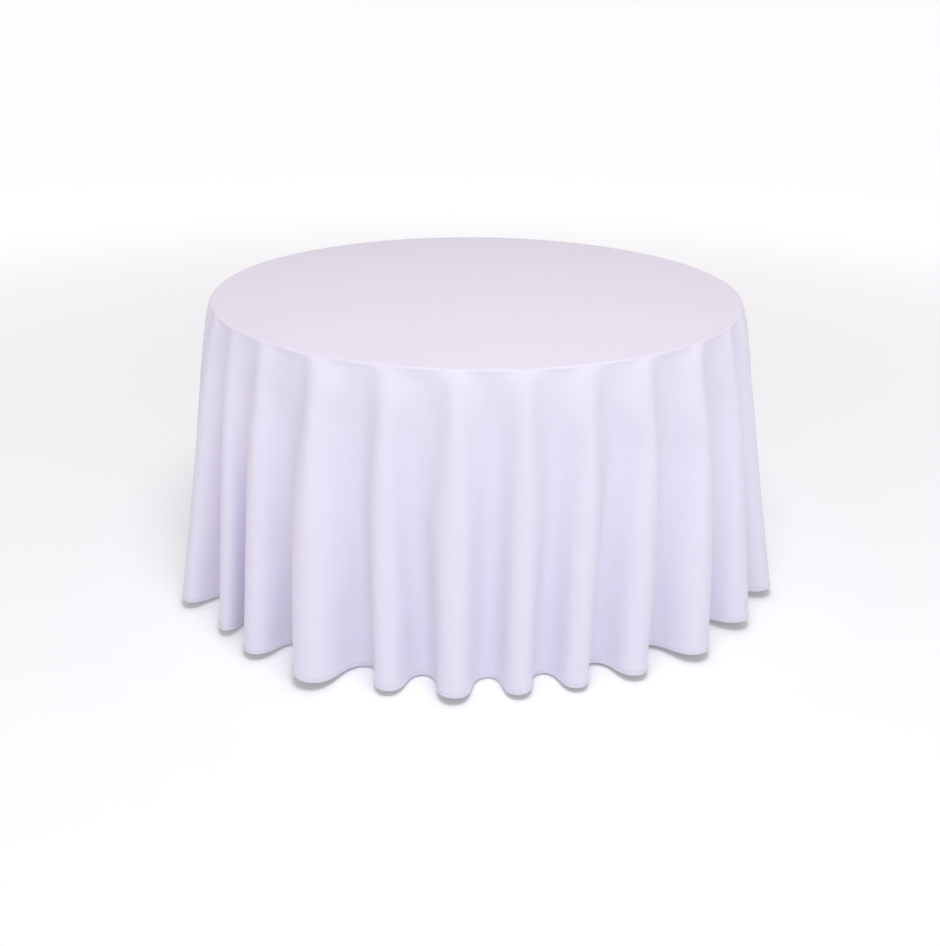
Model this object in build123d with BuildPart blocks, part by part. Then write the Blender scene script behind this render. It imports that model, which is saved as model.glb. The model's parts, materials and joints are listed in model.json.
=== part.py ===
from build123d import *
import os
from math import atan2, cos, degrees, hypot, radians, sin

# A round banquet table with folding wishbone legs, under a floor-length round tablecloth.
# Millimetres, +Z up, floor at Z = 0, origin under the middle of the top, front towards -Y.

# ---- driving dimensions ---------------------------------------------------------------

TABLE_DIAMETER = 1524.0  # a 60 inch top, edging included
TABLE_HEIGHT = 762.0  # 30 inch, floor to the wooden top
TOP_THICKNESS = 19.0
CLOTH_THICKNESS = 1.5  # stands for the cloth and the small waves in it
CLOTH_STANDOFF = 1.5  # air between the edging and the cloth that bends over it
BELL_FULLNESS = 0.62  # share of the flare that is reached half way down
HEM_RADIUS = 915.0  # how far the folds reach out at the hem
HEM_HEIGHT = 12.0  # the turned-up edge of the cloth
HEM_CLEARANCE = 3.0  # the hem hangs this far above the floor
HEM_THICKNESS = 2.5
HEM_PROUD = 0.5  # the hem stands this far outside the cloth above it
HEM_ROUNDING = 1.0

EDGING = 3.0  # vinyl edging over the plywood's rim
EDGING_ROUNDING = 2.4
BARB_THICKNESS = 2.4
BARB_DEPTH = 11.0
GROOVE_PLAY = 0.1

RAIL_LENGTH = 1120.0
RAIL_FLANGE = 30.0
RAIL_THICKNESS = 3.0
RAIL_X = 380.0  # inner face of each rail's upright flange
RAIL_SCREW_PITCH = 200.0
RAIL_SCREWS = 6

TUBE_RADIUS = 12.7  # one inch leg tube
TUBE_WALL = 1.6
TUBE_END_GAP = 0.5  # between a hinge tube's end and the rail
BAR_RADIUS = 9.5
BAR_LET_IN = 1.0  # how deep the legs are notched into the crossbar
HINGE_Y = 480.0
HINGE_DROP = 33.0  # hinge axis below the underside of the top
LEG_LEAN = 5.0  # degrees that the feet stand outside the hinges
FRONT_LEG_X = 340.0
REAR_LEG_X = 300.0  # narrower, so that the two sets fold between each other
BOOT_WALL = 2.8
BOOT_LENGTH = 40.0
SOLE = 6.0

PLATE = 4.0  # pivot brackets and brace straps
PLATE_HALF_WIDTH = 24.0
RUNNING_CLEARANCE = 0.1  # radial, pins and tubes in their holes

BRACE_PIVOT_Y = 60.0
BRACE_PIVOT_Z = 710.0
BRACE_DROP = 200.0  # crossbar below the hinge, along the leg
LUG_RISE = 6.0  # brace pin inboard of the leg's plane
LUG_SLOT_END = 5.0  # the slot between the lug's ears ends this far outboard of that plane
STRAP_HALF_WIDTH = 10.0
EAR = 3.0  # thickness of a clevis ear
EAR_GAP = 1.0  # clevis ear to strap
PIN_RADIUS = 4.0
PIN_HEAD_RADIUS = 6.5
PIN_HEAD = 2.5
BRACKET_PIN_TAIL = 1.5  # the pin's tip beyond the far ear
LUG_PIN_TAIL = 0.3  # shorter, because the upper strap passes beside it
KNUCKLE_GAP = 0.5  # from the knuckle rivet's tip to the lower strap
BRACKET_SCREW_REACH = 9.0  # from the ears to the screw beside them
BRACKET_FOOT = 18.0  # the bracket's base beyond each ear
BRACKET_CORNER = 5.0
OVERCUT = 1.0  # how far a cut runs past the piece on each side

SCREW_RADIUS = 2.2
SCREW_HEAD_RADIUS = 4.5
SCREW_HEAD = 2.6
PILOT_DEPTH = 15.0
PILOT_END_GAP = 1.0  # a screw's tip stops this far short of its hole's end
PILOT_PLAY = 0.1
HEAD_ROUNDING = 0.9  # screw, pin and rivet heads
RIVET_RADIUS = 3.0
RIVET_HEAD_RADIUS = 5.5
RIVET_SPACING = 30.0
BUMPER_RADIUS = 13.0
BUMPER_HEIGHT = 9.0
BUMPER_TAPER = 12.0
BUMPER_RING = 560.0

# ---- derived places --------------------------------------------------------------------

TOP_RADIUS = TABLE_DIAMETER / 2
CORE_RADIUS = TOP_RADIUS - EDGING
UNDERSIDE = TABLE_HEIGHT - TOP_THICKNESS
HINGE_Z = UNDERSIDE - HINGE_DROP
LEAN = radians(LEG_LEAN)
LEG_LENGTH = (HINGE_Z - SOLE) / cos(LEAN)
FOLD = 90.0 + LEG_LEAN  # a leg lies flat under the top after this turn
BAR_OFFSET = TUBE_RADIUS + BAR_RADIUS - BAR_LET_IN

# Centre line in X of each brace strap, on a front set: the straps lie side by side.
LOWER_STRAP_X = 0.0
UPPER_STRAP_X = PLATE + 2 * EAR_GAP + EAR

FRONT = Location((0, 0, 0))
REAR = Location((0, 0, 0), (0, 0, 180))  # the rear set is the front one, turned half round


def placed(turn, plane):
    """A plane of the front set, moved to the set that is being drawn."""
    return Plane(turn * plane.location)


def leg_point(fold, down, inboard):
    """(y, z) of a point on the front legs, folded by so many degrees."""
    turn = radians(fold) - LEAN
    y = -HINGE_Y + down * sin(turn) + inboard * cos(turn)
    z = HINGE_Z - down * cos(turn) + inboard * sin(turn)
    return y, z


def from_brace_pivot(fold):
    """Distance and downward angle from the brace pivot to the lug pin."""
    y, z = leg_point(fold, BRACE_DROP, LUG_RISE)
    across, fall = -BRACE_PIVOT_Y - y, BRACE_PIVOT_Z - z
    return hypot(across, fall), degrees(atan2(fall, across))


# The brace is straight when the legs stand, and doubled over when they are folded.
OPEN_REACH, OPEN_ANGLE = from_brace_pivot(0)
SHUT_REACH, SHUT_ANGLE = from_brace_pivot(FOLD)
UPPER_LENGTH = (OPEN_REACH + SHUT_REACH) / 2
LOWER_LENGTH = (OPEN_REACH - SHUT_REACH) / 2


def knuckle():
    """(y, z) of the brace's knuckle on the standing front set."""
    slope = radians(OPEN_ANGLE)
    y = -BRACE_PIVOT_Y - UPPER_LENGTH * cos(slope)
    return y, BRACE_PIVOT_Z - UPPER_LENGTH * sin(slope)


def save(builder, label):
    """Names a finished piece and writes its file."""
    builder.part.label = label
    export_step(builder.part, f"parts/{label}.step")


# ---- the top ---------------------------------------------------------------------------


def rail_screw_places():
    """(x, y) of each rail screw, in the middle of the rail's flat flange."""
    x = RAIL_X + RAIL_THICKNESS + (RAIL_FLANGE - RAIL_THICKNESS) / 2
    first = -RAIL_SCREW_PITCH * (RAIL_SCREWS - 1) / 2
    rows = [first + RAIL_SCREW_PITCH * k for k in range(RAIL_SCREWS)]
    return [(side * x, y) for side in (-1, 1) for y in rows]


def brace_screw_places():
    """(x, y) of the two screws beside each brace bracket's ears."""
    offset = PLATE / 2 + EAR_GAP + EAR + BRACKET_SCREW_REACH
    return [
        (-side * (UPPER_STRAP_X + reach), side * BRACE_PIVOT_Y)
        for side in (-1, 1)
        for reach in (-offset, offset)
    ]


def bumper_places():
    """(x, y) of the four bumpers, ahead of, behind and beside the middle."""
    return [(BUMPER_RING * a, BUMPER_RING * b) for a, b in ((-1, 0), (1, 0), (0, -1), (0, 1))]


def tabletop():
    """Plywood disc with a groove round its edge for the edging's barb."""
    groove = BARB_THICKNESS + 2 * GROOVE_PLAY
    groove_floor = UNDERSIDE + (TOP_THICKNESS - groove) / 2
    with BuildPart() as top:
        with BuildSketch(Plane.XY.offset(UNDERSIDE)):
            Circle(CORE_RADIUS)
        extrude(amount=TOP_THICKNESS)
        with BuildSketch(Plane.XY.offset(groove_floor)):
            Circle(CORE_RADIUS)
            Circle(CORE_RADIUS - BARB_DEPTH - GROOVE_PLAY, mode=Mode.SUBTRACT)
        extrude(amount=groove, mode=Mode.SUBTRACT)
        with BuildSketch(Plane.XY.offset(UNDERSIDE)):
            with Locations(*rail_screw_places(), *brace_screw_places(), *bumper_places()):
                Circle(SCREW_RADIUS + PILOT_PLAY)
        extrude(amount=PILOT_DEPTH, mode=Mode.SUBTRACT)
    save(top, "tabletop")


def edge_moulding():
    """Vinyl T-section: a cap over the plywood's edge and a barb in its groove."""
    middle = UNDERSIDE + TOP_THICKNESS / 2
    with BuildPart() as moulding:
        with BuildSketch(Plane.XZ):
            with Locations((CORE_RADIUS + EDGING / 2, middle)):
                cap = Rectangle(EDGING, TOP_THICKNESS)
            fillet(cap.vertices().group_by(Axis.X)[-1], EDGING_ROUNDING)
            with Locations((CORE_RADIUS - BARB_DEPTH / 2, middle)):
                Rectangle(BARB_DEPTH, BARB_THICKNESS)
        revolve(axis=Axis.Z)
    save(moulding, "edge_moulding")


def rail(label, side):
    """Steel angle along the underside, that carries one end of both hinge tubes."""
    with BuildPart() as angle:
        with BuildSketch(Plane.XZ.offset(-RAIL_LENGTH / 2)):
            with BuildLine():
                Polyline(
                    (side * RAIL_X, UNDERSIDE),
                    (side * (RAIL_X + RAIL_FLANGE), UNDERSIDE),
                    (side * (RAIL_X + RAIL_FLANGE), UNDERSIDE - RAIL_THICKNESS),
                    (side * (RAIL_X + RAIL_THICKNESS), UNDERSIDE - RAIL_THICKNESS),
                    (side * (RAIL_X + RAIL_THICKNESS), UNDERSIDE - RAIL_FLANGE),
                    (side * RAIL_X, UNDERSIDE - RAIL_FLANGE),
                    close=True,
                )
            make_face()
        extrude(amount=RAIL_LENGTH)
        with BuildSketch(Plane.XY.offset(UNDERSIDE)):
            with Locations(*[p for p in rail_screw_places() if p[0] * side > 0]):
                Circle(SCREW_RADIUS + PILOT_PLAY)
        extrude(amount=-RAIL_THICKNESS, mode=Mode.SUBTRACT)
        with BuildSketch(Plane.YZ.offset(side * RAIL_X)):
            with Locations(*bracket_rivet_places(-1), *bracket_rivet_places(1)):
                Circle(RIVET_RADIUS)
        extrude(amount=side * RAIL_THICKNESS, mode=Mode.SUBTRACT)
    save(angle, label)


def bracket_rivet_places(end):
    """(y, z) of the two rivets that hold a pivot bracket, above its bore."""
    z = UNDERSIDE - RAIL_THICKNESS - RIVET_HEAD_RADIUS - 1.0
    return [(end * HINGE_Y + dy, z) for dy in (-RIVET_SPACING / 2, RIVET_SPACING / 2)]


def pivot_bracket(label, side, end):
    """Plate on the inside of a rail, with the bore that a hinge tube turns in."""
    with BuildPart() as bracket:
        with BuildSketch(Plane.YZ.offset(side * RAIL_X)):
            with Locations((end * HINGE_Y, HINGE_Z)):
                Circle(PLATE_HALF_WIDTH)
            with Locations((end * HINGE_Y, (HINGE_Z + UNDERSIDE) / 2)):
                Rectangle(2 * PLATE_HALF_WIDTH, UNDERSIDE - HINGE_Z)
            with Locations((end * HINGE_Y, HINGE_Z)):
                Circle(TUBE_RADIUS + RUNNING_CLEARANCE, mode=Mode.SUBTRACT)
            with Locations(*bracket_rivet_places(end)):
                Circle(RIVET_RADIUS, mode=Mode.SUBTRACT)
        extrude(amount=-side * PLATE)
    save(bracket, label)


def bracket_rivets():
    """Eight rivets, two through each pivot bracket and rail."""
    with BuildPart() as rivets:
        for side in (-1, 1):
            places = [*bracket_rivet_places(-1), *bracket_rivet_places(1)]
            with BuildSketch(Plane.YZ.offset(side * (RAIL_X - PLATE))):
                with Locations(*places):
                    Circle(RIVET_RADIUS)
            extrude(amount=side * (PLATE + RAIL_THICKNESS))
            with BuildSketch(Plane.YZ.offset(side * (RAIL_X + RAIL_THICKNESS))):
                with Locations(*places):
                    Circle(RIVET_HEAD_RADIUS)
            extrude(amount=side * PIN_HEAD)
            with BuildSketch(Plane.YZ.offset(side * (RAIL_X - PLATE))):
                with Locations(*places):
                    Circle(RIVET_HEAD_RADIUS)
            extrude(amount=-side * PIN_HEAD)
        round_rims(rivets, RIVET_HEAD_RADIUS)
    save(rivets, "bracket_rivets")


def round_rims(builder, radius):
    """Softens the outer circle of every round head in the piece."""
    rims = [
        edge
        for edge in builder.part.edges().filter_by(GeomType.CIRCLE)
        if abs(edge.radius - radius) < 1e-6 and touches_outside(builder, edge)
    ]
    fillet(rims, HEAD_ROUNDING)


def touches_outside(builder, edge):
    """True for a head's free rim: the flat face inside it is a whole disc."""
    return any(
        face.geom_type == GeomType.PLANE and not face.inner_wires() and edge in face.edges()
        for face in builder.part.faces()
    )


def screws(label, places, seat):
    """Pan-head screws driven up from the given height into the top."""
    with BuildPart() as group:
        with BuildSketch(Plane.XY.offset(seat)):
            with Locations(*places):
                Circle(SCREW_RADIUS)
        extrude(amount=UNDERSIDE - seat + PILOT_DEPTH - PILOT_END_GAP)
        with BuildSketch(Plane.XY.offset(seat)):
            with Locations(*places):
                Circle(SCREW_HEAD_RADIUS)
        extrude(amount=-SCREW_HEAD)
        round_rims(group, SCREW_HEAD_RADIUS)
    save(group, label)


def stacking_bumpers():
    """Rubber buttons that keep stacked tables apart."""
    with BuildPart() as bumpers:
        with BuildSketch(Plane.XY.offset(UNDERSIDE)):
            with Locations(*bumper_places()):
                Circle(BUMPER_RADIUS)
        extrude(amount=-BUMPER_HEIGHT, taper=BUMPER_TAPER)
        with BuildSketch(Plane.XY.offset(UNDERSIDE)):
            with Locations(*bumper_places()):
                Circle(SCREW_RADIUS + PILOT_PLAY)
        extrude(amount=-BUMPER_HEIGHT, mode=Mode.SUBTRACT)
    save(bumpers, "stacking_bumpers")


# ---- one set of legs, drawn at the front and turned half round for the rear ----------------


def leg_plane(turn):
    """At the hinge: local Z runs down the legs, local Y points outboard."""
    down = (0, -sin(LEAN), -cos(LEAN))
    return placed(turn, Plane(origin=(0, -HINGE_Y, HINGE_Z), x_dir=(1, 0, 0), z_dir=down))


def leg_side_plane(turn, x):
    """Across the legs at one X: local X runs outboard, local Y down the legs."""
    plane = leg_plane(turn)
    return Plane(origin=plane.from_local_coords((x, 0, 0)), x_dir=plane.y_dir, z_dir=plane.x_dir)


def hinge_tube(turn, name):
    """Tube that the legs are welded to, turning in the pivot brackets."""
    half = RAIL_X - TUBE_END_GAP
    with BuildPart() as tube:
        with BuildSketch(leg_side_plane(turn, -half)):
            Circle(TUBE_RADIUS)
            Circle(TUBE_RADIUS - TUBE_WALL, mode=Mode.SUBTRACT)
        extrude(amount=2 * half)
    save(tube, f"{name}_hinge_tube")


def leg(turn, name, x, hand):
    """Leg tube, hollowed at its upper end to sit on the hinge tube."""
    with BuildPart() as tube:
        with BuildSketch(leg_plane(turn)):
            with Locations((x, 0)):
                Circle(TUBE_RADIUS)
                Circle(TUBE_RADIUS - TUBE_WALL, mode=Mode.SUBTRACT)
        extrude(amount=LEG_LENGTH)
        with BuildSketch(leg_side_plane(turn, x)):
            Circle(TUBE_RADIUS)
        extrude(amount=2 * TUBE_RADIUS, both=True, mode=Mode.SUBTRACT)
    save(tube, f"{name}_leg_{hand}")


def leg_boot(turn, name, x, hand):
    """Rubber boot over the foot of a leg, with its sole flat on the floor."""
    outer = TUBE_RADIUS + BOOT_WALL
    plane = leg_plane(turn)
    with BuildPart() as boot:
        with BuildSketch(plane.offset(LEG_LENGTH - BOOT_LENGTH)):
            with Locations((x, 0)):
                Circle(outer)
        extrude(amount=BOOT_LENGTH + 2 * SOLE)
        with BuildSketch(plane.offset(LEG_LENGTH - BOOT_LENGTH)):
            with Locations((x, 0)):
                Circle(TUBE_RADIUS)
        extrude(amount=BOOT_LENGTH, mode=Mode.SUBTRACT)
        split(bisect_by=Plane.XY, keep=Keep.TOP)
    save(boot, f"{name}_boot_{hand}")


def crossbar(turn, name, leg_x):
    """Bar across the outboard side of both legs, let into them a little."""
    half = leg_x + TUBE_RADIUS
    with BuildPart() as bar:
        with BuildSketch(leg_side_plane(turn, -half)):
            with Locations((BAR_OFFSET, BRACE_DROP)):
                Circle(BAR_RADIUS)
                Circle(BAR_RADIUS - TUBE_WALL, mode=Mode.SUBTRACT)
        extrude(amount=2 * half)
        with BuildSketch(leg_plane(turn)):
            with Locations((-leg_x, 0), (leg_x, 0)):
                Circle(TUBE_RADIUS)
        extrude(amount=BRACE_DROP + 2 * BAR_RADIUS, mode=Mode.SUBTRACT)
    save(bar, f"{name}_crossbar")


def brace_lug(turn, name):
    """Clevis on the crossbar: two ears and a web, with the lower strap between them."""
    half = PLATE / 2 + EAR_GAP + EAR
    ear_height = LUG_RISE + BAR_OFFSET
    with BuildPart() as lug:
        with BuildSketch(leg_side_plane(turn, LOWER_STRAP_X - half)):
            with Locations((-LUG_RISE, BRACE_DROP)):
                Circle(STRAP_HALF_WIDTH)
            with Locations((ear_height / 2 - LUG_RISE, BRACE_DROP)):
                Rectangle(ear_height, 2 * STRAP_HALF_WIDTH)
            with Locations((BAR_OFFSET, BRACE_DROP)):
                Circle(BAR_RADIUS, mode=Mode.SUBTRACT)
            with Locations((-LUG_RISE, BRACE_DROP)):
                Circle(PIN_RADIUS, mode=Mode.SUBTRACT)
        extrude(amount=2 * half)
        with BuildSketch(leg_side_plane(turn, LOWER_STRAP_X - half + EAR)):
            with Locations((LUG_SLOT_END - ear_height / 2, BRACE_DROP)):
                Rectangle(ear_height, 2 * (STRAP_HALF_WIDTH + OVERCUT))
        extrude(amount=2 * (half - EAR), mode=Mode.SUBTRACT)
    save(lug, f"{name}_brace_lug")


def cross_pin(plane, name, low, high):
    """Headed pin along X, its head beyond the low end."""
    with BuildPart() as pin:
        with BuildSketch(plane.offset(low)):
            Circle(PIN_RADIUS)
        extrude(amount=high - low)
        with BuildSketch(plane.offset(low)):
            Circle(PIN_HEAD_RADIUS)
        extrude(amount=-PIN_HEAD)
        round_rims(pin, PIN_HEAD_RADIUS)
    save(pin, name)


def brace_plane(turn, y, z):
    """Across X at a point of the brace: local X runs down the standing brace."""
    slope = radians(OPEN_ANGLE)
    along = (0, -cos(slope), -sin(slope))
    return placed(turn, Plane(origin=(0, y, z), x_dir=along, z_dir=(1, 0, 0)))


def strap(plane, name, length, x, knuckle_hole):
    """Flat strap with rounded ends, from its pivot hole to the knuckle."""
    with BuildPart() as bar:
        with BuildSketch(plane.offset(x - PLATE / 2)):
            with Locations((length / 2, 0)):
                SlotCenterToCenter(length, 2 * STRAP_HALF_WIDTH)
            Circle(PIN_RADIUS + RUNNING_CLEARANCE, mode=Mode.SUBTRACT)
            if knuckle_hole:
                with Locations((length, 0)):
                    Circle(PIN_RADIUS, mode=Mode.SUBTRACT)
        extrude(amount=PLATE)
    save(bar, name)


def knuckle_rivet(turn, name):
    """Rivet and spacer on the upper strap, ending just short of the lower one."""
    plane = brace_plane(turn, *knuckle())
    outer = UPPER_STRAP_X + PLATE / 2
    inner = UPPER_STRAP_X - PLATE / 2
    tip = LOWER_STRAP_X + PLATE / 2 + KNUCKLE_GAP
    with BuildPart() as rivet:
        with BuildSketch(plane.offset(tip)):
            Circle(PIN_HEAD_RADIUS)
        extrude(amount=inner - tip)
        with BuildSketch(plane.offset(inner)):
            Circle(PIN_RADIUS)
        extrude(amount=outer - inner)
        with BuildSketch(plane.offset(outer)):
            Circle(PIN_HEAD_RADIUS)
        extrude(amount=PIN_HEAD)
        round_rims(rivet, PIN_HEAD_RADIUS)
    save(rivet, f"{name}_knuckle_rivet")


def knuckle_rivet_head(turn, name):
    """The rivet's other head, on the outer face of the lower strap."""
    plane = brace_plane(turn, *knuckle())
    with BuildPart() as head:
        with BuildSketch(plane.offset(LOWER_STRAP_X - PLATE / 2)):
            Circle(PIN_HEAD_RADIUS)
        extrude(amount=-PIN_HEAD)
        round_rims(head, PIN_HEAD_RADIUS)
    save(head, f"{name}_knuckle_rivet_head")


def brace_bracket(turn, name):
    """Clevis under the middle of the top, that the upper strap swings in."""
    inner = PLATE / 2 + EAR_GAP
    half = inner + EAR
    base_half = half + BRACKET_FOOT
    pivot = (0, -BRACE_PIVOT_Y, BRACE_PIVOT_Z)
    plane = placed(turn, Plane(origin=pivot, x_dir=(0, 1, 0), z_dir=(1, 0, 0)))
    rise = UNDERSIDE - RAIL_THICKNESS - BRACE_PIVOT_Z
    screw_offsets = (-half - BRACKET_SCREW_REACH, half + BRACKET_SCREW_REACH)
    with BuildPart() as bracket:
        for low in (UPPER_STRAP_X - half, UPPER_STRAP_X + inner):
            with BuildSketch(plane.offset(low)):
                Circle(STRAP_HALF_WIDTH)
                with Locations((0, rise / 2)):
                    Rectangle(2 * STRAP_HALF_WIDTH, rise)
                Circle(PIN_RADIUS, mode=Mode.SUBTRACT)
            extrude(amount=EAR)
        with BuildSketch(placed(turn, Plane.XY.offset(UNDERSIDE - RAIL_THICKNESS))):
            with Locations((UPPER_STRAP_X, -BRACE_PIVOT_Y)):
                RectangleRounded(2 * base_half, 2 * STRAP_HALF_WIDTH, BRACKET_CORNER)
            with Locations(*[(UPPER_STRAP_X + dx, -BRACE_PIVOT_Y) for dx in screw_offsets]):
                Circle(SCREW_RADIUS + PILOT_PLAY, mode=Mode.SUBTRACT)
        extrude(amount=RAIL_THICKNESS)
    save(bracket, f"{name}_brace_bracket")
    pin_end = UPPER_STRAP_X + half + BRACKET_PIN_TAIL
    cross_pin(plane, f"{name}_brace_bracket_pin", UPPER_STRAP_X - half, pin_end)


def leg_set(turn, name, leg_x):
    """Everything that folds with one pair of legs, and its brace."""
    hinge_tube(turn, name)
    for hand, x in (("left", -leg_x), ("right", leg_x)):
        leg(turn, name, x, hand)
        leg_boot(turn, name, x, hand)
    crossbar(turn, name, leg_x)
    brace_lug(turn, name)
    lug_y, lug_z = leg_point(0, BRACE_DROP, LUG_RISE)
    lug_half = PLATE / 2 + EAR_GAP + EAR
    lower = brace_plane(turn, lug_y, lug_z)
    cross_pin(lower, f"{name}_brace_lug_pin", -lug_half, lug_half + LUG_PIN_TAIL)

    upper = brace_plane(turn, -BRACE_PIVOT_Y, BRACE_PIVOT_Z)
    strap(upper, f"{name}_upper_brace", UPPER_LENGTH, UPPER_STRAP_X, knuckle_hole=True)
    back_up = Plane(origin=lower.origin, x_dir=-lower.x_dir, z_dir=lower.z_dir)
    strap(back_up, f"{name}_lower_brace", LOWER_LENGTH, LOWER_STRAP_X, knuckle_hole=False)
    knuckle_rivet(turn, name)
    knuckle_rivet_head(turn, name)
    brace_bracket(turn, name)


# ---- the cloth -------------------------------------------------------------------------


def tablecloth():
    """Closed bell with an open foot: flat over the top, then flaring to the hem."""
    inner_rim = TOP_RADIUS + CLOTH_STANDOFF
    outer_rim = inner_rim + CLOTH_THICKNESS
    top = TABLE_HEIGHT + CLOTH_THICKNESS
    bottom = HEM_CLEARANCE + HEM_HEIGHT
    outer_hem = HEM_RADIUS - HEM_PROUD
    middle_z = (top + bottom) / 2
    middle = outer_rim + BELL_FULLNESS * (outer_hem - outer_rim)
    with BuildPart() as cloth:
        with BuildSketch(Plane.XZ) as profile:
            with BuildLine():
                Line((0, TABLE_HEIGHT), (0, top))
                Line((0, top), (outer_rim, top))
                ThreePointArc((outer_rim, top), (middle, middle_z), (outer_hem, bottom))
                Line((outer_hem, bottom), (outer_hem - CLOTH_THICKNESS, bottom))
                ThreePointArc(
                    (outer_hem - CLOTH_THICKNESS, bottom),
                    (middle - CLOTH_THICKNESS, middle_z),
                    (inner_rim, TABLE_HEIGHT),
                )
                Line((inner_rim, TABLE_HEIGHT), (0, TABLE_HEIGHT))
            make_face()
        revolve(axis=Axis.Z)
        rim = cloth.edges().filter_by(GeomType.CIRCLE).sort_by(Axis.Z)[-1]
        fillet(rim, CLOTH_THICKNESS)
    save(cloth, "tablecloth")


def hem():
    """The turned and stitched edge, a little thicker than the cloth above it."""
    with BuildPart() as band:
        with BuildSketch(Plane.XY.offset(HEM_CLEARANCE)):
            Circle(HEM_RADIUS)
            Circle(HEM_RADIUS - HEM_THICKNESS, mode=Mode.SUBTRACT)
        extrude(amount=HEM_HEIGHT)
        rim = band.edges().filter_by(GeomType.CIRCLE).group_by(Axis.Z)[0]
        fillet(rim, HEM_ROUNDING)
    save(band, "hem")


def print_motion():
    """The turns that record.json states for the coupled brace joints."""
    upper_turn = OPEN_ANGLE - SHUT_ANGLE
    lower_turn = 180.0 - upper_turn - FOLD
    knuckle_y, knuckle_z = knuckle()
    lug_y, lug_z = leg_point(0, BRACE_DROP, LUG_RISE)
    print(f"fold {FOLD:.4f} deg, hinge at y {HINGE_Y:.1f} z {HINGE_Z:.1f}")
    for strap_name, length, angle in (
        ("upper", UPPER_LENGTH, upper_turn),
        ("lower", LOWER_LENGTH, lower_turn),
    ):
        print(f"{strap_name} brace {length:.2f} mm turns {angle:.4f} deg, ratio {angle / FOLD:.6f}")
    print(f"lug pin y {lug_y:.3f} z {lug_z:.3f}, knuckle y {knuckle_y:.3f} z {knuckle_z:.3f}")


os.makedirs("parts", exist_ok=True)
tabletop()
edge_moulding()
for hand, side in (("left", -1), ("right", 1)):
    rail(f"rail_{hand}", side)
    for name, end in (("front", -1), ("rear", 1)):
        pivot_bracket(f"{name}_pivot_bracket_{hand}", side, end)
bracket_rivets()
screws("rail_screws", rail_screw_places(), UNDERSIDE - RAIL_THICKNESS)
screws("brace_bracket_screws", brace_screw_places(), UNDERSIDE - RAIL_THICKNESS)
screws("bumper_screws", bumper_places(), UNDERSIDE - BUMPER_HEIGHT)
stacking_bumpers()
leg_set(FRONT, "front", FRONT_LEG_X)
leg_set(REAR, "rear", REAR_LEG_X)
tablecloth()
hem()
print_motion()
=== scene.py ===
import json
import bpy
import numpy as np
from math import cos, pi, radians, sin
from mathutils import Matrix, Vector


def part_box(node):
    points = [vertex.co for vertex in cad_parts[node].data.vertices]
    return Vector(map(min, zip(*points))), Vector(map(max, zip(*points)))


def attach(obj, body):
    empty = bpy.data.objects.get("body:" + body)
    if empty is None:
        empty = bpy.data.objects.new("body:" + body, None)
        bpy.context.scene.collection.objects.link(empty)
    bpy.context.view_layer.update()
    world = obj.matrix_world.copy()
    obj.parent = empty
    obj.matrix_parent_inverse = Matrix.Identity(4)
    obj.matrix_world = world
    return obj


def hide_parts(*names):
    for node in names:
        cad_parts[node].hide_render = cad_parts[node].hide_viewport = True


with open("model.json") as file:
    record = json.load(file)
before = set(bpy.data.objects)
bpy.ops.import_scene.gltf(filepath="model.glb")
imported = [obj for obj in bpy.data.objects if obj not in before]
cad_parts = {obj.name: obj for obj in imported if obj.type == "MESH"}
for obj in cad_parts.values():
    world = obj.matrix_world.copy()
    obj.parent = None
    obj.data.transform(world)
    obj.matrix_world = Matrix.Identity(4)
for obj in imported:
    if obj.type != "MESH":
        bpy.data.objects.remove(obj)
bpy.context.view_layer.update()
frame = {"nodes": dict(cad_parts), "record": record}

# Sizes are in metres. Azimuths run from the front (-Y) towards +X, and are in degrees here.

# ---- the table that the cloth hangs on ----------------------------------------------------------

table_low, table_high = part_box("edge_moulding")
TOP_Z = table_high[2]
TOP_UNDERSIDE = table_low[2]
TABLE_RADIUS = table_high[0]
EDGE_ROUND = 0.0024  # rounding of the moulding's two corners

# ---- the cloth ----------------------------------------------------------------------------------

CLOTH_BODY = "tablecloth"
CLOTH_RADIUS = 1.524  # a 120 inch round
CLOTH_GAP = 0.0010  # from the wood to the middle of the cloth

# Where the valleys between the folds meet the hem, all the way round.
VALLEYS = [-67, -54.5, -44.3, -32.5, -18.3, -8.6, 2.2, 11.4, 20.6, 31.1, 43.8, 56, 68]
VALLEYS += [79, 91, 100.5, 110, 123, 134, 143, 155, 164, 176.5, 187, 196]
VALLEYS += [208.5, 219, 228, 240.5, 251, 261.5, 273, 284]

RIM_OFFSET = 0.002  # the unsettled cloth turns down this far outside the table's edge
VALLEY_OFFSET = 0.0015  # and its valleys hang this much further out
FRONT_FLARE = 0.043  # how far the valleys stand outside the rim at the hem, front and back
SIDE_FLARE = 0.002  # and at the sides, where the cloth hangs straighter
SIDE_COSINE = 0.17  # the flare grows from the side's to the front's from this |cos azimuth|
FLARE_REACH = 0.33  # over this much more
RIM_DRIFT = 5.6  # degrees that the front valleys lean outwards on their way up to the rim
RIGHT_DRIFT = 2.7  # and how many more at the right, or fewer at the left
LEAN = 4.5  # degrees that the folds at the left are pushed round towards the front
LEAN_MIDDLE = -54.0
LEAN_REACH = 14.0
STEEPEST = 0.95  # most of the way from one ring to the next that may go sideways

# Radii of the simulated rings in the flat cloth: close at the rim, and even below it.
RIM_RINGS = [0.725, 0.738, 0.748, 0.755, 0.760, 0.7645, 0.769, 0.7745, 0.782, 0.792, 0.805]
FIRST_EVEN_RING = 0.822
EVEN_RINGS = 39
AROUND = 480  # points in each simulated ring
HELD_RADIUS = 0.74  # inside this the cloth lies still on the top

# Rings of the flat middle, outermost first, and how many points those beyond a radius have.
TOP_RINGS = [0.68, 0.60, 0.50, 0.42, 0.34, 0.26, 0.18, 0.10, 0.04]
TOP_RING_POINTS = ((0.6, 480), (0.35, 240), (0.15, 120), (0, 24))

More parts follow.
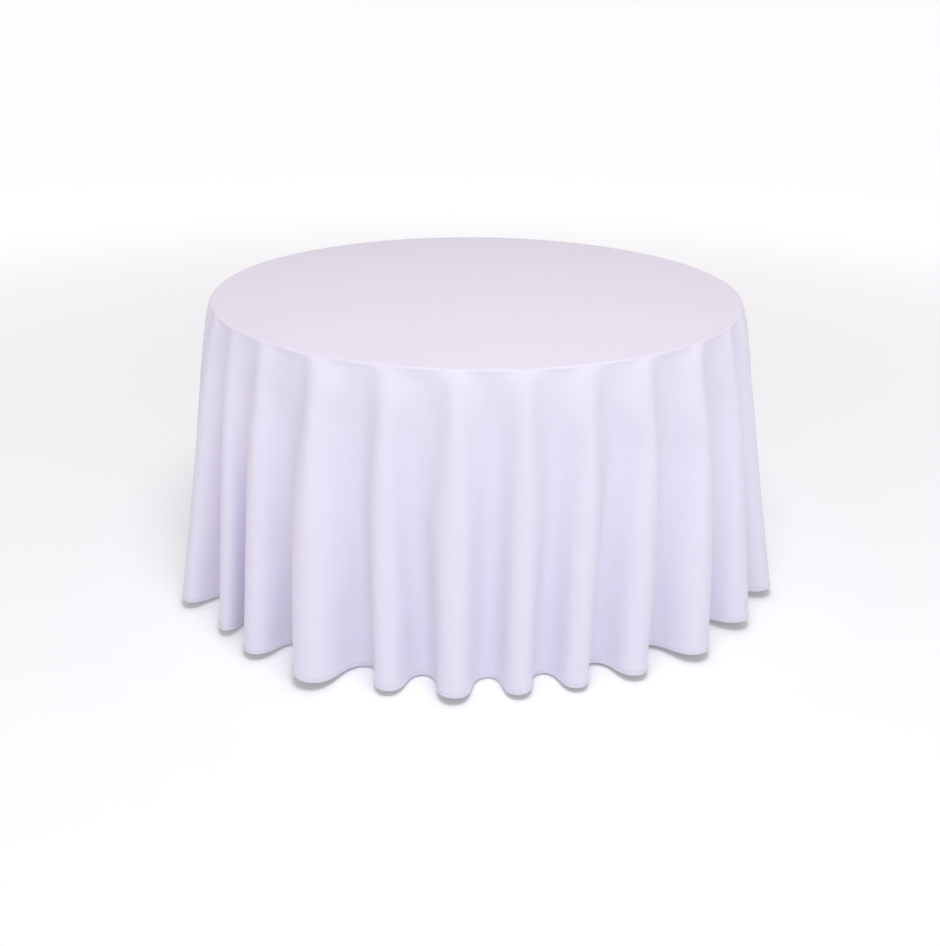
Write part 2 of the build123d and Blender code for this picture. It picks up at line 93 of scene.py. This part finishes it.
SIM_FRAMES = 30
SIM_DISTANCE = 0.003  # that the simulation keeps between the cloth and a collider
COLLIDER_DEPTH = 0.01
COLLIDER_AROUND = 240
COLLIDER_HOLE = 0.6  # radius inside which the table's collider is left open
FLOOR_COLLIDER_REACH = 1.5
TABLE_FRICTION = 8.0
FLOOR_FRICTION = 5.0

# ---- the hem ------------------------------------------------------------------------------------

HEM_WIDTH = 0.011
HEM_HALF = 0.0010  # half the thickness of the turned edge
HEM_LIP = 0.0006  # how quickly its two long edges round off
HEM_FLOOR_GAP = 0.0002
SEAM_RISE = 0.0088  # stitch line above the cloth's edge
STITCH_PITCH = 0.0030
STITCH_LENGTH = 0.0023
THREAD = 0.0003  # radius

# ---- looks, studio and camera -------------------------------------------------------------------

CLOTH_COLOUR = (0.80, 0.768, 0.885)
HEM_SHADE = 0.98  # the doubled edge looks a little darker than the cloth
CLOTH_YARN = 0.0011  # width of a pair of crossed yarns
HEM_YARN = 0.0009

FLOOR_REACH = 30.0
FLOOR_GLOW = (0.16, 0.54)  # painted glow of the floor: its strength near the table and far from it
# distance over which the floor's painted glow rises to its far strength
FLOOR_GLOW_REACH = 6.0
HORIZON = (0.98, 0.98, 1.0)
ZENITH = (0.51, 0.485, 0.49)
WHITE = (1.0, 1.0, 1.0)
PALE_BLUE = (0.74, 0.83, 1.0)
KEY_PLACE = (0.2, -1.3, 4.6)
KEY_SIZE = 2.2
KEY_POWER = 88
FILL_PLACE = (0.5, -4.5, 1.3)
FILL_SIZE = 2.5
FILL_POWER = 24

CAMERA_PLACE = (0, -2.834, 1.466)
CAMERA_PITCH = 16.0  # degrees down from level
CAMERA_YAW = 1.15
CAMERA_ROLL = 0.84
CAMERA_LENS = 37.45
CAMERA_SHIFT = (-0.0285, -0.159)


# ---- small helpers ------------------------------------------------------------------------------


def unit(vectors):
    """The same directions at length one."""
    return vectors / np.linalg.norm(vectors, axis=-1, keepdims=True)


def new_piece(name, points, faces):
    """A smooth-shaded mesh object in the scene."""
    mesh = bpy.data.meshes.new(name)
    mesh.from_pydata([tuple(p) for p in points], [], faces)
    mesh.update()
    mesh.polygons.foreach_set("use_smooth", [True] * len(mesh.polygons))
    piece = bpy.data.objects.new(name, mesh)
    bpy.context.scene.collection.objects.link(piece)
    return piece


def level_square(name, reach):
    """A square on the floor, reaching this far each way from the middle."""
    corners = [(-reach, -reach, 0), (reach, -reach, 0), (reach, reach, 0), (-reach, reach, 0)]
    return new_piece(name, corners, [(0, 1, 2, 3)])


def lathe(name, profile, around):
    """An open profile of (radius, height) turned about Z, facing outwards."""
    points = []
    for j in range(around):
        turn = 2 * pi * j / around
        points += [(r * cos(turn), r * sin(turn), z) for r, z in profile]
    size = len(profile)
    faces = []
    for j in range(around):
        here, there = j * size, (j + 1) % around * size
        faces += [(here + i, here + i + 1, there + i + 1, there + i) for i in range(size - 1)]
    return new_piece(name, points, faces)


def band_faces(rings, around):
    """Quads between each ring and the next one out."""
    faces = []
    for k in range(rings - 1):
        inner = k * around
        outer = inner + around
        for j in range(around):
            following = (j + 1) % around
            faces.append((inner + j, outer + j, outer + following, inner + following))
    return faces


def bridge(ring, outer):
    """Faces between a ring and the next one out, which has a whole multiple of its points."""
    faces = []
    share = len(outer) // len(ring)
    for j in range(len(ring)):
        following = (j + 1) % len(ring)
        edge = [outer[(j * share + i) % len(outer)] for i in range(share + 1)]
        faces.append((ring[j], *edge, ring[following]))
    return faces


def cut_places(radii, around, height=0.0):
    """Where each ring's points lie in the flat, uncreased cloth."""
    angle = np.arange(around) / around * 2 * pi
    x, y = np.outer(radii, np.sin(angle)), -np.outer(radii, np.cos(angle))
    return np.stack([x, y, np.full(x.shape, height)], axis=-1).reshape(-1, 3)


def mark_cut(piece, cut):
    """Keeps each point's place in the flat cloth, in metres, for the weave to follow."""
    layer = piece.data.attributes.new("cut", "FLOAT_VECTOR", "POINT")
    layer.data.foreach_set("vector", np.asarray(cut, dtype=np.float32).ravel())


# ---- the folded cloth ---------------------------------------------------------------------------

ARC = np.linspace(0.0, 1.0, 721)  # places along one fold, by its own length


def fold_curve(swing):
    """One fold as a sine-generated curve of unit length, from valley to valley."""
    heading = swing * np.sin(2 * pi * ARC)
    step = 1.0 / (len(ARC) - 1)
    across, out = np.cos(heading), np.sin(heading)
    x = np.concatenate([[0.0], np.cumsum((across[1:] + across[:-1]) / 2) * step])
    y = np.concatenate([[0.0], np.cumsum((out[1:] + out[:-1]) / 2) * step])
    return x, y


SWINGS = np.linspace(0.0, 1.8, 61)
SPANS = np.array([fold_curve(swing)[0][-1] for swing in SWINGS])


def swing_for(span):
    """The swing whose fold covers this share of its own length."""
    return np.interp(-span, -SPANS, SWINGS)


def fold_for(radius, valley):
    """The fold curve that fits a ring's whole length round the table, outside its valleys."""
    mean = valley + 0.01
    for _ in range(60):
        x, y = fold_curve(swing_for(min(mean / radius, 1.0)))
        depth = 2 * pi * radius / len(VALLEYS) * y.max()
        mean = 0.5 * mean + 0.5 * min(valley + depth / 2, radius * 0.9999)
    return x, y


def fold_position(angle, share):
    """Start and width of the fold that holds each angle, and the share of it passed there."""
    hem = np.radians(VALLEYS)
    side, front = np.sin(hem), np.maximum(np.cos(hem), 0)
    drift = (RIM_DRIFT + RIGHT_DRIFT * side) * 2 * side * front
    start = hem + (1 - share) * np.radians(drift)
    start = np.append(start, start[0] + 2 * pi)
    turned = (angle - start[0]) % (2 * pi) + start[0]
    index = np.clip(np.searchsorted(start, turned, side="right") - 1, 0, len(VALLEYS) - 1)
    width = start[index + 1] - start[index]
    return start[index], width, (turned - start[index]) / width


def folded_ring(radius, angle, edge):
    """Radius and azimuth in space of one ring of the cloth below the rim."""
    share = (radius - edge) / (CLOTH_RADIUS - edge)
    frontness = np.clip((np.abs(np.cos(angle)) - SIDE_COSINE) / FLARE_REACH, 0, 1)
    flare = SIDE_FLARE + (FRONT_FLARE - SIDE_FLARE) * frontness**2 * (3 - 2 * frontness)
    valley = edge + VALLEY_OFFSET + flare * share**1.5
    x, y = fold_for(radius, valley.mean())
    start, width, place = fold_position(angle, share)
    reach = np.interp(place, ARC, y)
    off_middle = np.degrees((start + width / 2 - radians(LEAN_MIDDLE) + pi) % (2 * pi) - pi)
    lean = radians(LEAN) * np.exp(-((off_middle / LEAN_REACH) ** 2)) * share * reach / y.max()
    return valley + reach * width * radius, start + np.interp(place, ARC, x) / x[-1] * width + lean


def hanging_shape(radii):
    """Points of the cloth, ring by ring, folded so that its lengths stay almost true."""
    angle = np.arange(AROUND) / AROUND * 2 * pi
    edge = TABLE_RADIUS + RIM_OFFSET
    rings = []
    for radius in radii:
        flat = (np.full(AROUND, radius), angle)
        rings.append(flat if radius <= edge else folded_ring(radius, angle, edge))
    out = np.array([ring[0] for ring in rings])
    turn = np.array([ring[1] for ring in rings])
    x, y = out * np.sin(turn), -out * np.cos(turn)
    z = np.full(x.shape, TOP_Z + CLOTH_GAP)
    for k in range(1, len(radii)):
        if radii[k] > edge:
            step = radii[k] - radii[k - 1]
            sideways = np.minimum(np.hypot(x[k] - x[k - 1], y[k] - y[k - 1]), STEEPEST * step)
            z[k] = z[k - 1] - np.sqrt(step**2 - sideways**2)
    return np.stack([x, y, z], axis=-1)


# ---- settling it --------------------------------------------------------------------------------


def collide(piece, friction):
    """Makes a piece something that the cloth rests on."""
    piece.modifiers.new("Collision", "COLLISION")
    piece.collision.thickness_outer = SIM_DISTANCE / 2
    piece.collision.thickness_inner = COLLIDER_DEPTH
    piece.collision.cloth_friction = friction
    return piece


def table_collider():
    """The table's edge, smaller by the distance that the simulation keeps from it."""
    corner = [radians(a) for a in (0, 30, 60, 90)]
    inset = SIM_DISTANCE - CLOTH_GAP
    high, low = TOP_Z - inset - EDGE_ROUND, TOP_UNDERSIDE + EDGE_ROUND
    middle = TABLE_RADIUS - inset - EDGE_ROUND
    profile = [(COLLIDER_HOLE, high + EDGE_ROUND)]
    profile += [(middle + EDGE_ROUND * sin(a), high + EDGE_ROUND * cos(a)) for a in corner]
    profile += [(middle + EDGE_ROUND * cos(a), low - EDGE_ROUND * sin(a)) for a in corner]
    profile += [(COLLIDER_HOLE, low - EDGE_ROUND)]
    return collide(lathe("table_collider", profile, COLLIDER_AROUND), TABLE_FRICTION)


def floor_collider():
    """A patch of floor that reaches under the whole cloth."""
    return collide(level_square("floor_collider", FLOOR_COLLIDER_REACH), FLOOR_FRICTION)


def hold_top_and_hem(draft, radii):
    """Keeps the cloth's flat top and its last ring where they are, and names the group."""
    held = draft.vertex_groups.new(name="held")
    on_top = AROUND * int(np.sum(radii < HELD_RADIUS))
    held.add(list(range(on_top)), 1.0, "REPLACE")
    last_ring = range(AROUND * (len(radii) - 1), AROUND * len(radii))
    held.add(list(last_ring), 1.0, "REPLACE")
    return held.name


def soften(draft, rest, held):
    """Gives the draft the simulation of a light, well damped polyester."""
    cloth = draft.modifiers.new("Cloth", "CLOTH")
    settings = cloth.settings
    settings.quality = 6
    settings.mass = 0.12
    settings.air_damping = 2.0
    settings.tension_stiffness = settings.compression_stiffness = 60.0
    settings.shear_stiffness = 8.0
    settings.bending_stiffness = 2.0
    settings.tension_damping = settings.compression_damping = 10.0
    settings.shear_damping = 5.0
    settings.bending_damping = 1.0
    settings.vertex_group_mass = held
    settings.rest_shape_key = rest
    cloth.collision_settings.distance_min = SIM_DISTANCE / 2
    cloth.collision_settings.collision_quality = 3
    cloth.collision_settings.use_self_collision = False
    cloth.point_cache.frame_start = 1
    cloth.point_cache.frame_end = SIM_FRAMES + 1


def relax(points, radii):
    """Lets the folded cloth settle over the table's edge and on the floor."""
    draft = new_piece("cloth_draft", points.reshape(-1, 3), band_faces(len(radii), AROUND))
    draft.shape_key_add(name="Basis")
    rest = draft.shape_key_add(name="flat")
    rest.data.foreach_set("co", cut_places(radii, AROUND, TOP_Z).ravel())
    rest.value = 0.0
    held = hold_top_and_hem(draft, radii)
    helpers = [draft, table_collider(), floor_collider()]
    soften(draft, rest, held)
    for step in range(1, SIM_FRAMES + 1):
        bpy.context.scene.frame_set(step)
    settled = draft.evaluated_get(bpy.context.evaluated_depsgraph_get())
    result = np.empty(points.size)
    settled.data.vertices.foreach_get("co", result)
    for helper in helpers:
        bpy.data.objects.remove(helper)
    bpy.context.scene.frame_set(1)
    return result.reshape(points.shape)


def without_puckers(shift):
    """Evens out the smallest puckers, along the folds and across them."""
    for _ in range(3):
        shift = (np.roll(shift, 1, 1) + 2 * shift + np.roll(shift, -1, 1)) / 4
        inner = (shift[:-2] + 2 * shift[1:-1] + shift[2:]) / 4
        shift = np.concatenate([shift[:1], inner, shift[-1:]])
    return shift


def finer(points, closed):
    """Twice as many points along the first axis, on a smooth curve through the old ones."""
    if closed:
        before, after, far = np.roll(points, 1, 0), np.roll(points, -1, 0), np.roll(points, -2, 0)
    else:
        first = 2 * points[:1] - points[1:2]
        last = 2 * points[-1:] - points[-2:-1]
        ends = np.concatenate([first, points, last])
        before, after, far = ends[:-3], ends[2:-1], ends[3:]
        points = points[:-1]
    middle = (9 * (points + after) - before - far) / 16
    woven = np.empty((2 * len(points), *points.shape[1:]))
    woven[0::2], woven[1::2] = points, middle
    return woven if closed else np.concatenate([woven, after[-1:]])


def clear_of_table(points):
    """Moves any point that the rounding has let into the table back to just outside it."""
    out = np.hypot(points[..., 0], points[..., 1])
    over_r = out - (TABLE_RADIUS - EDGE_ROUND)
    over_z = points[..., 2] - (TOP_Z - EDGE_ROUND)
    keep = EDGE_ROUND + CLOTH_GAP
    distance = np.hypot(over_r, over_z)
    at_corner = (over_r > 0) & (over_z > 0) & (distance < keep)
    at_side = (over_z <= 0) & (points[..., 2] > TOP_UNDERSIDE) & (over_r < keep)
    on_top = (over_r <= 0) & (over_z > 0) & (over_z < keep)
    grow = np.where(at_corner, keep / np.maximum(distance, 1e-6), 1.0)
    new_r = np.where(at_side, keep, over_r * grow) + TABLE_RADIUS - EDGE_ROUND
    new_z = np.where(on_top, keep, over_z * grow) + TOP_Z - EDGE_ROUND
    share = new_r / np.maximum(out, 1e-6)
    moved = np.stack([points[..., 0] * share, points[..., 1] * share, new_z], axis=-1)
    moved[..., 2] = np.maximum(moved[..., 2], HEM_HALF)
    return moved


def clear_between_rings(points):
    """Moves the rings out wherever the straight way from one to the next would cut the edge."""
    for _ in range(4):
        middle = (points[:-1] + points[1:]) / 2
        push = clear_of_table(middle) - middle
        points[:-1] += push
        points[1:] += push
    return points


def settled_folds():
    """Rings of points from the table's edge to the hem, and their radii in the flat cloth."""
    even = np.linspace(FIRST_EVEN_RING, CLOTH_RADIUS, EVEN_RINGS)
    radii = np.array(RIM_RINGS + list(even))
    points = hanging_shape(radii)
    settled = relax(points, radii)
    points = points + without_puckers(settled - points)
    points = finer(points, closed=False)
    points = finer(points.swapaxes(0, 1), closed=True).swapaxes(0, 1)
    points = clear_between_rings(clear_of_table(points))
    return points, finer(radii[:, None], closed=False)[:, 0]


def make_cloth(points, radii):
    """The whole cloth: the settled folds, and a flat middle inside them."""
    rings, around = points.shape[:2]
    points = points.reshape(-1, 3)
    cut = cut_places(radii, around)
    faces = band_faces(rings, around)
    inner = list(range(around))
    for radius in TOP_RINGS:
        count = next(count for reach, count in TOP_RING_POINTS if radius > reach)
        angle = np.arange(count) / count * 2 * pi
        flat = np.array([(radius * sin(a), -radius * cos(a), TOP_Z + CLOTH_GAP) for a in angle])
        ring = list(range(len(points), len(points) + count))
        faces += bridge(ring, inner)
        points = np.vstack([points, flat])
        cut = np.vstack([cut, flat])
        inner = ring
    centre = len(points)
    points = np.vstack([points, [[0.0, 0.0, TOP_Z + CLOTH_GAP]]])
    cut = np.vstack([cut, [[0.0, 0.0, 0.0]]])
    faces += [(centre, inner[j], inner[(j + 1) % len(inner)]) for j in range(len(inner))]
    cloth = new_piece("draped_cloth", points, faces)
    mark_cut(cloth, cut)
    return cloth


# ---- hem and stitches ---------------------------------------------------------------------------


def edge_frame(points):
    """The cloth's edge: its points, and the directions along it, up the cloth and outwards."""
    edge = points[-1]
    along = unit(np.roll(edge, -1, 0) - np.roll(edge, 1, 0))
    up = unit(points[-2] - edge)
    up = unit(up - along * np.sum(up * along, axis=1, keepdims=True))
    return edge, along, up, np.cross(along, up)


def make_hem(points):
    """The turned-up edge: a thin band with rounded lips, on both faces of the cloth."""
    edge, _, up, outward = edge_frame(points)
    half = [(HEM_WIDTH, 0.3), (HEM_WIDTH - HEM_LIP, 0.85), (HEM_WIDTH / 2, 1.0)]
    half += [(HEM_LIP, 0.9), (0.0, 0.4)]
    outline = [(rise, share * HEM_HALF) for rise, share in half]
    outline += [(rise, -proud) for rise, proud in reversed(outline)]
    band = np.concatenate([edge + rise * up + proud * outward for rise, proud in outline])
    band[:, 2] = np.maximum(band[:, 2], HEM_FLOOR_GAP)
    around = len(edge)
    faces = band_faces(len(outline) + 1, around)
    faces = [tuple(corner % len(band) for corner in reversed(face)) for face in faces]
    hem = new_piece("hem_band", band, faces)
    radii = np.array([CLOTH_RADIUS - rise for rise, proud in outline])
    mark_cut(hem, cut_places(radii, around))
    return hem


def stitch_corners(middle, run, rise, out, face):
    """Corners of every stitch on one face of the hem: two tips, and four round its waist."""
    proud = middle + face * HEM_HALF * out
    tip = run * STITCH_LENGTH / 2
    side = rise * THREAD
    crown = face * out * THREAD
    corners = [proud - tip, proud + tip, proud + side, proud + crown, proud - side, proud - crown]
    return np.stack(corners, axis=1)


def make_stitches(points):
    """Two rows of lockstitch, one on each face of the hem."""
    edge, along, up, outward = edge_frame(points)
    seam = edge + SEAM_RISE * up
    gaps = np.linalg.norm(np.roll(seam, -1, 0) - seam, axis=1)
    reached = np.concatenate([[0.0], np.cumsum(gaps)])
    count = int(reached[-1] / STITCH_PITCH)
    places = np.arange(count) / count * reached[-1]

    def sample(values):
        closed = np.vstack([values, values[:1]])
        return np.stack([np.interp(places, reached, closed[:, k]) for k in range(3)], axis=1)

    middle, run = sample(seam), unit(sample(along))
    rise, out = unit(sample(up)), unit(sample(outward))
    corners = [stitch_corners(middle, run, rise, out, face) for face in (1, -1)]
    waist = [(2, 3), (3, 4), (4, 5), (5, 2)]
    sides = [(0, a, b) for a, b in waist] + [(1, b, a) for a, b in waist]
    faces = []
    for index in range(2 * count):
        turned = sides if index >= count else [side[::-1] for side in sides]
        faces += [tuple(6 * index + corner for corner in side) for side in turned]
    return new_piece("hem_stitches", np.concatenate(corners).reshape(-1, 3), faces)


# ---- material building blocks -------------------------------------------------------------------


def new_material(name, roughness, metallic=0.0):
    """A material with its node tree and its shader."""
    material = bpy.data.materials.new(name)
    material.use_nodes = True
    shader = material.node_tree.nodes["Principled BSDF"]
    shader.inputs["Roughness"].default_value = roughness
    shader.inputs["Metallic"].default_value = metallic
    return material, material.node_tree, shader


def add_node(tree, kind, inputs, **settings):
    """A node with its settings, and its inputs set to values or joined to sockets."""
    node = tree.nodes.new("ShaderNode" + kind)
    for key, value in settings.items():
        setattr(node, key, value)
    for key, value in inputs.items():
        if isinstance(value, bpy.types.NodeSocket):
            tree.links.new(value, node.inputs[key])
        else:
            node.inputs[key].default_value = value
    return node


def calculate(tree, operation, *values):
    """One step of arithmetic on values or sockets."""
    return add_node(tree, "Math", dict(enumerate(values)), operation=operation).outputs[0]


def noise(tree, place, stretch, detail=3.0):
    """Noise whose grain is 1 / stretch metres in each direction."""
    mapped = add_node(tree, "Mapping", {"Vector": place, "Scale": stretch}).outputs[0]
    inputs = {"Vector": mapped, "Scale": 1.0, "Detail": detail}
    return add_node(tree, "TexNoise", inputs).outputs["Fac"]


def ramp(tree, amount, low, high, start=0.3, end=0.7):
    """A colour between low and high."""
    node = add_node(tree, "ValToRGB", {"Fac": amount})
    for stop, place, colour in zip(node.color_ramp.elements, (start, end), (low, high)):
        stop.position = place
        stop.color = (*colour, 1.0)
    return node.outputs["Color"]


def shade(colour, share):
    """The colour, lighter or darker."""
    return tuple(min(c * share, 1.0) for c in colour)


def bump(tree, shader, height, distance, strength):
    """Relief of the given depth in metres."""
    inputs = {"Height": height, "Distance": distance, "Strength": strength}
    tree.links.new(add_node(tree, "Bump", inputs).outputs["Normal"], shader.inputs["Normal"])


# ---- materials ----------------------------------------------------------------------------------


def fabric_material(name, colour, yarn, relief):
    """Plain-woven polyester: crossed yarns, slubs along both of them, and a soft sheen."""
    material, tree, shader = new_material(name, 0.72)
    shader.inputs["Sheen Weight"].default_value = 0.25
    shader.inputs["Sheen Roughness"].default_value = 0.45
    shader.inputs["Specular IOR Level"].default_value = 0.25
    place = add_node(tree, "Attribute", {}, attribute_name="cut").outputs["Vector"]
    warp_slubs = noise(tree, place, (420.0, 9.0, 1.0))
    weft_slubs = noise(tree, place, (9.0, 420.0, 1.0))
    slubs = calculate(tree, "ADD", warp_slubs, weft_slubs)
    clouds = noise(tree, place, (5.0, 5.0, 1.0))
    tone = calculate(tree, "MULTIPLY_ADD", clouds, 0.15, slubs)
    tone = calculate(tree, "MULTIPLY", tone, 0.8)
    tones = ramp(tree, tone, shade(colour, 0.94), shade(colour, 1.025))
    tree.links.new(tones, shader.inputs["Base Color"])
    split = add_node(tree, "SeparateXYZ", {"Vector": place})
    threads = []
    for axis in ("X", "Y"):
        turns = calculate(tree, "MULTIPLY", split.outputs[axis], 2 * pi / yarn)
        threads.append(calculate(tree, "SINE", turns))
    weave = calculate(tree, "MULTIPLY", *threads)
    bump(tree, shader, calculate(tree, "MULTIPLY_ADD", slubs, 1.2, weave), relief, 0.6)
    return material


def hard_material(name, low, high, roughness, metallic=0.0, grain=(60.0,) * 3, pimple=900.0, relief=0.00003):
    """Paint, metal, vinyl or rubber: uneven tone and gloss over a fine surface texture."""
    material, tree, shader = new_material(name, roughness, metallic)
    place = add_node(tree, "TexCoord", {}).outputs["Object"]
    cloud = noise(tree, place, grain, 4.0)
    tree.links.new(ramp(tree, cloud, low, high), shader.inputs["Base Color"])
    gloss = calculate(tree, "MULTIPLY_ADD", cloud, 0.25, roughness - 0.12)
    tree.links.new(gloss, shader.inputs["Roughness"])
    bump(tree, shader, noise(tree, place, (pimple,) * 3, 2.0), relief, 0.5)
    return material


def plywood_material():
    """Birch veneer along X: fine fibres, broad soft growth figure and a thin clear coat."""
    material, tree, shader = new_material("birch_plywood", 0.5)
    shader.inputs["Coat Weight"].default_value = 0.15
    place = add_node(tree, "TexCoord", {}).outputs["Object"]
    figure = noise(tree, place, (1.3, 26.0, 26.0), 6.0)
    fibres = noise(tree, place, (12.0, 700.0, 700.0), 5.0)
    figure_share = calculate(tree, "MULTIPLY", figure, 0.5)
    tone = calculate(tree, "MULTIPLY_ADD", fibres, 0.5, figure_share)
    colours = ramp(tree, tone, (0.42, 0.28, 0.155), (0.68, 0.51, 0.33))
    tree.links.new(colours, shader.inputs["Base Color"])
    bump(tree, shader, fibres, 0.0002, 0.5)
    return material


def edging_material():
    """Dark brown vinyl with a fine leathery grain."""
    low, high = (0.075, 0.042, 0.026), (0.12, 0.07, 0.042)
    return hard_material("vinyl_edging", low, high, 0.5, pimple=1500.0, relief=0.00008)


def powder_coat_material():
    """Warm grey baked paint with a light orange peel."""
    low, high = (0.098, 0.090, 0.081), (0.115, 0.106, 0.096)
    return hard_material("powder_coat", low, high, 0.42, pimple=700.0, relief=0.00008)


def zinc_material():
    """Bright zinc plate with faint drawing marks along X."""
    low, high = (0.44, 0.45, 0.46), (0.60, 0.61, 0.61)
    return hard_material("zinc_plate", low, high, 0.36, 1.0, (25.0, 400.0, 400.0), 2500.0)


def rubber_material():
    """Matt black rubber."""
    low, high = (0.018, 0.018, 0.018), (0.04, 0.04, 0.04)
    return hard_material("rubber", low, high, 0.8, pimple=1200.0, relief=0.0001)


def thread_material():
    """Sewing thread in the cloth's colour, a little darker."""
    low, high = shade(CLOTH_COLOUR, 0.9), shade(CLOTH_COLOUR, 1.0)
    return hard_material("thread", low, high, 0.55, pimple=4000.0)


def painted_glow_floor_material():
    """Plain white paper with a painted glow, weaker near the table and stronger away from it."""
    material, tree, shader = new_material("studio_paper_painted_glow", 0.9)
    shader.inputs["Base Color"].default_value = (0.9, 0.9, 0.9, 1.0)
    # painted glow: the paper emits pale blue light, weaker near the table than away from it
    shader.inputs["Emission Color"].default_value = (0.95, 0.97, 1.0, 1.0)
    place = add_node(tree, "TexCoord", {}).outputs["Object"]
    away = add_node(tree, "VectorMath", {0: place}, operation="LENGTH").outputs["Value"]
    near, far = [(glow, glow, glow) for glow in FLOOR_GLOW]
    share = calculate(tree, "DIVIDE", away, FLOOR_GLOW_REACH)
    tree.links.new(ramp(tree, share, near, far, 0.2, 1.0), shader.inputs["Emission Strength"])
    return material


def finish_table():
    """Gives every CAD node that still shows the material of its slot."""
    finishes = {
        "plywood": plywood_material(),
        "vinyl_edging": edging_material(),
        "powder_coat": powder_coat_material(),
        "zinc": zinc_material(),
        "rubber": rubber_material(),
    }
    for row in frame["record"]["subparts"]:
        if row["material_slot"] in finishes:
            node = frame["nodes"][row["node"]]
            node.data.materials.clear()
            node.data.materials.append(finishes[row["material_slot"]])


# ---- the studio ---------------------------------------------------------------------------------


def add_light(name, place, target, size, power, colour=WHITE):
    """A round soft light that faces a point."""
    light = bpy.data.lights.new(name, "AREA")
    light.shape = "DISK"
    light.size = size
    light.energy = power
    light.color = colour
    lamp = bpy.data.objects.new(name, light)
    bpy.context.scene.collection.objects.link(lamp)
    lamp.location = place
    aim = Vector(target) - Vector(place)
    lamp.rotation_euler = aim.to_track_quat("-Z", "Y").to_euler()


def add_camera():
    """A standing person's view from the front, a little above the table."""
    pitch, yaw, roll = radians(CAMERA_PITCH), radians(CAMERA_YAW), radians(CAMERA_ROLL)
    forward = Vector((sin(yaw) * cos(pitch), cos(yaw) * cos(pitch), -sin(pitch)))
    level = forward.cross(Vector((0, 0, 1))).normalized()
    upright = level.cross(forward)
    right = cos(roll) * level + sin(roll) * upright
    up = cos(roll) * upright - sin(roll) * level
    camera = bpy.data.cameras.new("camera")
    camera.lens = CAMERA_LENS
    camera.shift_x, camera.shift_y = CAMERA_SHIFT
    stand = bpy.data.objects.new("camera", camera)
    bpy.context.scene.collection.objects.link(stand)
    columns = Matrix((right, up, -forward)).transposed()
    stand.matrix_world = Matrix.Translation(CAMERA_PLACE) @ columns.to_4x4()
    bpy.context.scene.camera = stand


def add_sky():
    """A pale even sky, white at the horizon and grey overhead."""
    world = bpy.data.worlds.new("studio")
    world.use_nodes = True
    tree = world.node_tree
    sky = tree.nodes["Background"]
    direction = add_node(tree, "TexCoord", {}).outputs["Generated"]
    height = add_node(tree, "SeparateXYZ", {"Vector": direction}).outputs["Z"]
    tree.links.new(ramp(tree, height, HORIZON, ZENITH, 0.03, 0.2), sky.inputs["Color"])
    sky.inputs["Strength"].default_value = 1.0
    bpy.context.scene.world = world


def add_studio():
    """Floor, sky, a soft light overhead and a weaker one in front."""
    ground = level_square("studio_floor", FLOOR_REACH)
    ground.data.materials.append(painted_glow_floor_material())
    add_sky()
    add_light("key", KEY_PLACE, (0, -0.2, TOP_Z), KEY_SIZE, KEY_POWER)
    add_light("fill", FILL_PLACE, (0, 0, TOP_Z / 2), FILL_SIZE, FILL_POWER, PALE_BLUE)
    bpy.context.scene.view_settings.view_transform = "Standard"


# ---- put together -------------------------------------------------------------------------------

folds, flat_radii = settled_folds()
cloth = make_cloth(folds, flat_radii)
hem = make_hem(folds)
stitches = make_stitches(folds)
cloth.data.materials.append(fabric_material("polyester", CLOTH_COLOUR, CLOTH_YARN, 0.00012))
hem_colour = shade(CLOTH_COLOUR, HEM_SHADE)
hem.data.materials.append(fabric_material("polyester_hem", hem_colour, HEM_YARN, 0.00016))
stitches.data.materials.append(thread_material())
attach(cloth, CLOTH_BODY)
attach(hem, CLOTH_BODY)
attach(stitches, CLOTH_BODY)
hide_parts("tablecloth")
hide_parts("hem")
finish_table()

add_camera()
add_studio()
